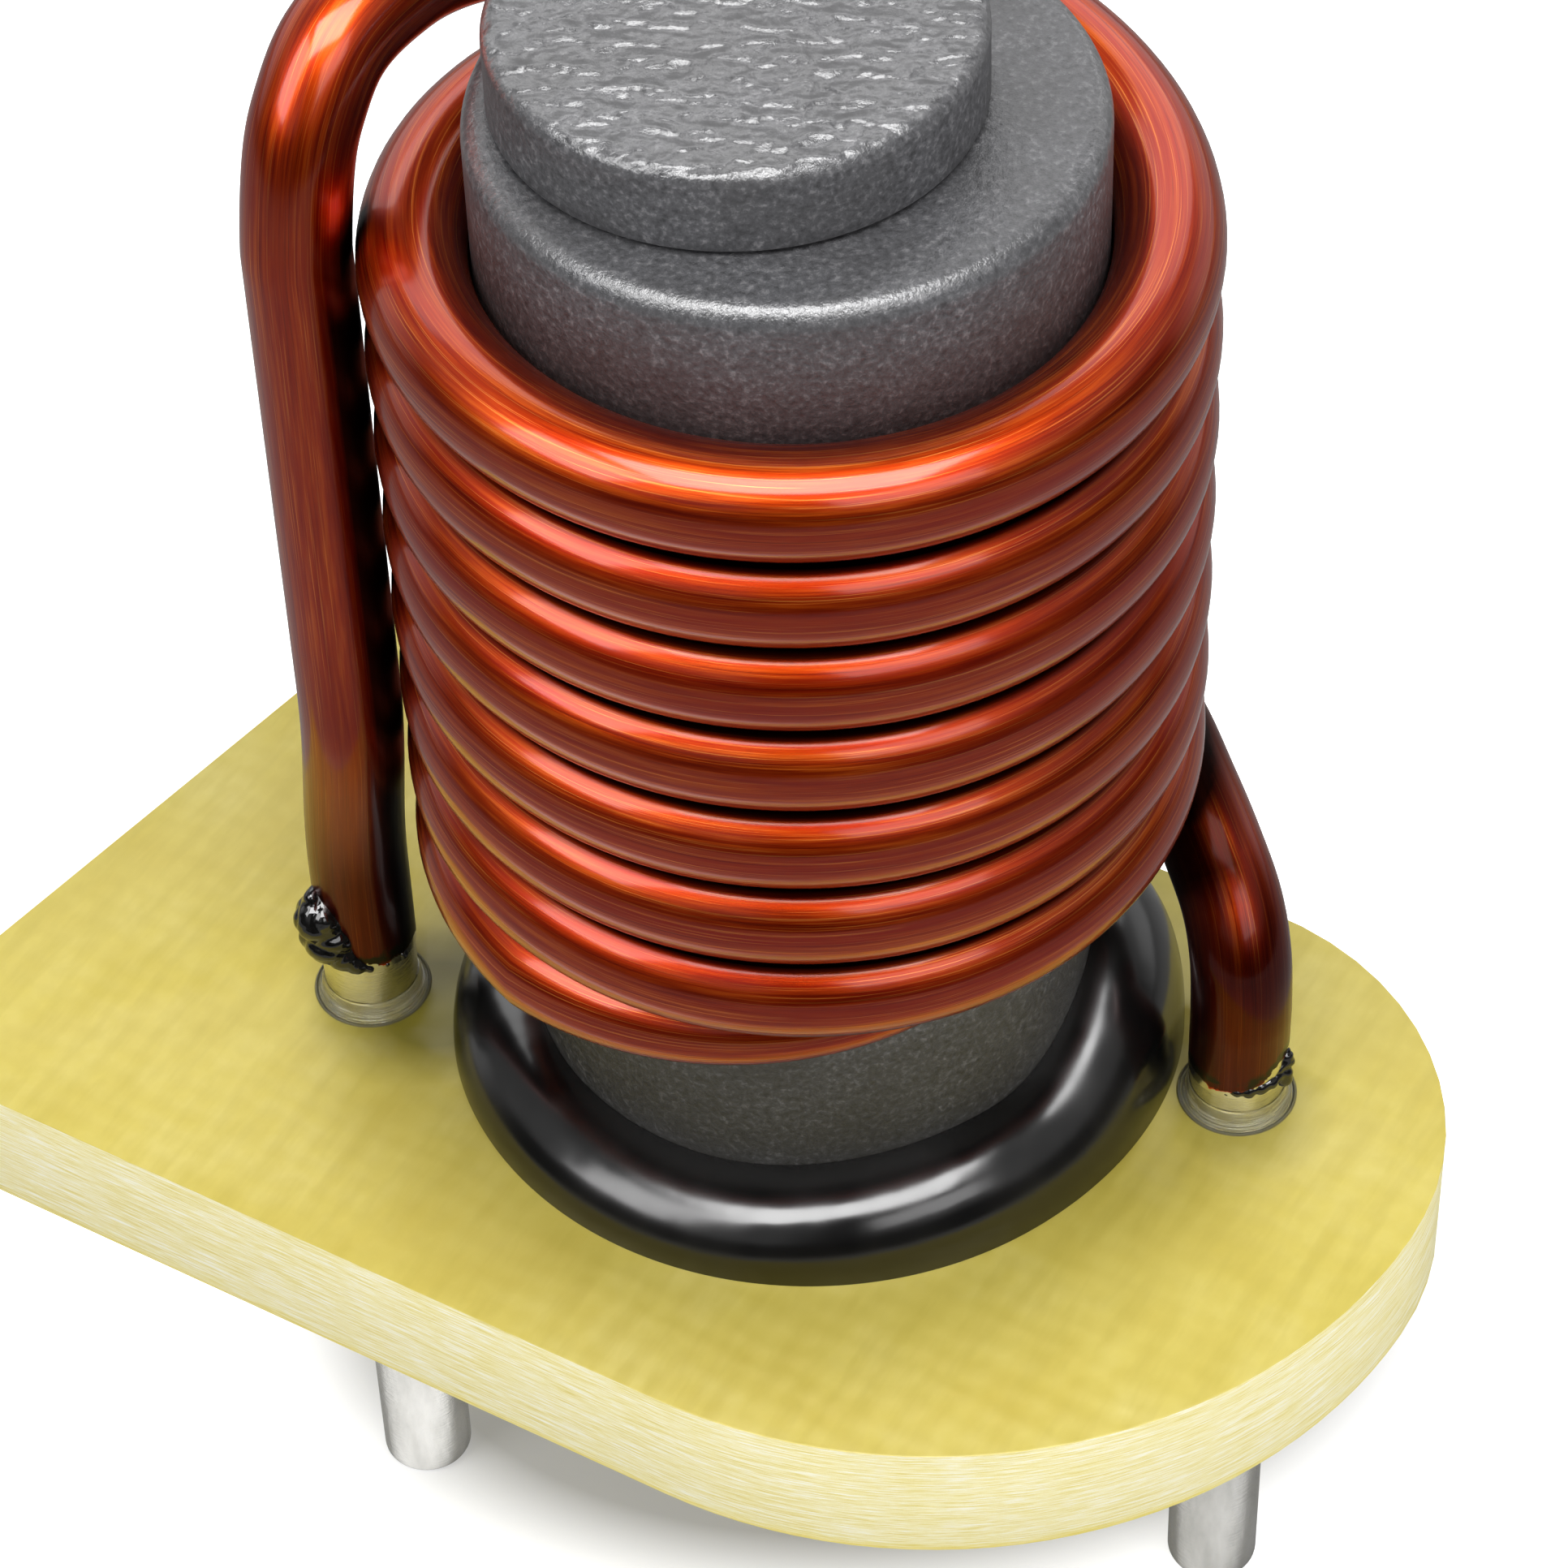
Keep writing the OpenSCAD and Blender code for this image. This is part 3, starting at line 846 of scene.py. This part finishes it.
# ---------------------------------------------------------------- floor
def floor_material():
    """To the camera white, with a painted shadow under the plate. In reflections dim, with a painted bright
    patch ahead of the tails.
    """
    shade_centre = (0.001, 0.0055, tip_z * MM)
    shade_half = (0.0122, 0.0085, 1.0)
    tone = 0.82
    glossy_tone = 0.30
    tails_slope = (left_xy[1] - right_xy[1]) / (right_xy[0] - left_xy[0])

    mat = bpy.data.materials.new("floor")
    mat.use_nodes = True
    g = Graph(mat.node_tree)
    g.tree.nodes.clear()
    rays = g.add("ShaderNodeLightPath").outputs
    seen = g.most(rays["Is Camera Ray"], rays["Is Transmission Ray"])
    glossy = rays["Is Glossy Ray"]
    place = g.add("ShaderNodeNewGeometry").outputs["Position"]
    spot = g.add("ShaderNodeMapping", vector_type="TEXTURE", _Location=shade_centre, _Scale=shade_half)
    g.link(place, spot.inputs["Vector"])
    far = g.measure(spot.outputs["Vector"], "LENGTH")
    x, y = g.axis(place, "X"), g.axis(place, "Y")

    # painted shadow: the white falls off under the plate
    glow = g.times(seen, g.remap(far, 0.93, 1.22, 0.12, 1.0))
    ahead = g.math("ADD", y, g.times(x, float(tails_slope)))
    # painted reflection: a bright patch ahead of the tails that only reflections see
    front = g.times(g.remap(ahead, -0.0023, -0.0018, 0.9, 0.12), g.remap(far, 2.4, 3.0, 1.0, 0.0))
    shine = g.times(glossy, front, g.remap(x, -0.002, 0.002, 1.0, 0.6))
    emission = g.add("ShaderNodeEmission")
    g.link(g.most(glow, shine), emission.inputs["Strength"])

    grey = g.math("SUBTRACT", tone, g.times(glossy, tone - glossy_tone))
    # painted shadow: the floor's own colour is darker under the plate too
    near = g.times(seen, g.remap(far, 1.0, 2.0, 0.42, 0.0))
    diffuse = g.add("ShaderNodeBsdfDiffuse")
    g.link(g.math("SUBTRACT", grey, near), diffuse.inputs["Color"])
    both = g.add("ShaderNodeAddShader")
    g.link(diffuse.outputs[0], both.inputs[0])
    g.link(emission.outputs[0], both.inputs[1])
    g.link(both.outputs[0], g.add("ShaderNodeOutputMaterial").inputs["Surface"])
    return mat


floor_half = 1.5
corners = [(-floor_half, -floor_half), (floor_half, -floor_half), (floor_half, floor_half),
           (-floor_half, floor_half)]
floor_mesh = bpy.data.meshes.new("floor")
floor_mesh.from_pydata([(x, y, tip_z * MM) for x, y in corners], [], [(0, 1, 2, 3)])
floor_mesh.materials.append(floor_material())
floor = bpy.data.objects.new("floor", floor_mesh)
bpy.context.scene.collection.objects.link(floor)


# ---------------------------------------------------------------- world and lights
def studio():
    """White to the camera. In reflections dark low round the front, dim walls above, white behind."""
    ambient = 0.21
    world = bpy.data.worlds.new("studio")
    world.use_nodes = True
    g = Graph(world.node_tree)
    g.tree.nodes.clear()
    rays = g.add("ShaderNodeLightPath").outputs
    way = g.add("ShaderNodeTexCoord").outputs["Generated"]
    x, y, z = (g.axis(way, name) for name in "XYZ")
    off_axis = g.math("ABSOLUTE", g.math("DIVIDE", x, g.most(g.times(y, -1.0), 0.01)))
    walls = g.times(g.remap(z, 0.35, 0.5, 0.05, 0.40), g.remap(off_axis, 0.12, 0.3, 0.12, 1.0))
    ceiling = g.remap(z, 0.8, 0.9, 1.0, 0.2)
    back = g.times(g.remap(y, 0.15, 0.45, 0.0, 1.0), g.remap(z, 0.35, 0.55, 1.0, 0.0))
    room = g.times(rays["Is Glossy Ray"], g.most(g.times(walls, ceiling), back))
    soft = g.times(rays["Is Diffuse Ray"], ambient)
    level = g.most(rays["Is Camera Ray"], rays["Is Transmission Ray"], room, soft)
    background = g.add("ShaderNodeBackground")
    g.link(level, background.inputs["Strength"])
    g.link(background.outputs[0], g.add("ShaderNodeOutputWorld").inputs["Surface"])
    return world


def softbox(name, az, el, dist, w, h, radiance, shift=(0, 0)):
    """A panel of w by h aimed at the winding. az 0 is the camera's side (-Y), 90 the right."""
    a, e = math.radians(az), math.radians(el)
    d = Vector((math.sin(a) * math.cos(e), -math.cos(a) * math.cos(e), math.sin(e)))
    light = bpy.data.lights.new(name, "AREA")
    light.shape = "RECTANGLE"
    light.size = w
    light.size_y = h
    light.energy = radiance * w * h * math.pi
    o = bpy.data.objects.new(name, light)
    bpy.context.scene.collection.objects.link(o)
    o.location = Vector((0, 0, 0.012)) + d * dist + Vector((*shift, 0))
    o.rotation_euler = (-d).to_track_quat("-Z", "Y").to_euler()
    return o


bpy.context.scene.world = studio()
softbox("key", -62, 45, 0.30, 0.14, 0.16, 4.9)
softbox("fill", 30, 42, 0.32, 0.17, 0.10, 2.4)
softbox("top", 0, 90, 0.30, 0.25, 0.16, 10.0, (0, -0.085)).visible_diffuse = False
softbox("top_plain", 0, 90, 0.30, 0.25, 0.16, 5.5, (0.06, -0.085)).visible_glossy = False
softbox("back_box", 180, 43, 0.32, 0.40, 0.16, 1.7)
softbox("front", 30, 16, 0.35, 0.34, 0.16, 2.2).visible_glossy = False

# ---------------------------------------------------------------- camera
camera_place = Vector((0, -0.07642, 0.09002))
camera_down = math.radians(46.33)
camera_turn = math.radians(-0.374)
camera_roll = math.radians(-2.10)

lens = bpy.data.cameras.new("camera")
lens.lens = 122.5
lens.sensor_width = 36
lens.sensor_fit = "HORIZONTAL"
lens.clip_start = 0.005
lens.clip_end = 20
ahead = Vector((math.sin(camera_turn) * math.cos(camera_down), math.cos(camera_turn) * math.cos(camera_down),
                -math.sin(camera_down)))
level = ahead.cross(Vector((0, 0, 1))).normalized()
upright = level.cross(ahead)
right = math.cos(camera_roll) * level + math.sin(camera_roll) * upright
up = -math.sin(camera_roll) * level + math.cos(camera_roll) * upright
camera = bpy.data.objects.new("camera", lens)
bpy.context.scene.collection.objects.link(camera)
camera.matrix_world = Matrix.Translation(camera_place) @ Matrix((right, up, -ahead)).transposed().to_4x4()
bpy.context.scene.camera = camera
bpy.context.scene.view_settings.view_transform = "Standard"

# few bounces are enough here, and keep a render short
bounces = bpy.context.scene.cycles
bounces.max_bounces = 6
bounces.diffuse_bounces = 3
bounces.glossy_bounces = 3
bounces.transmission_bounces = 4
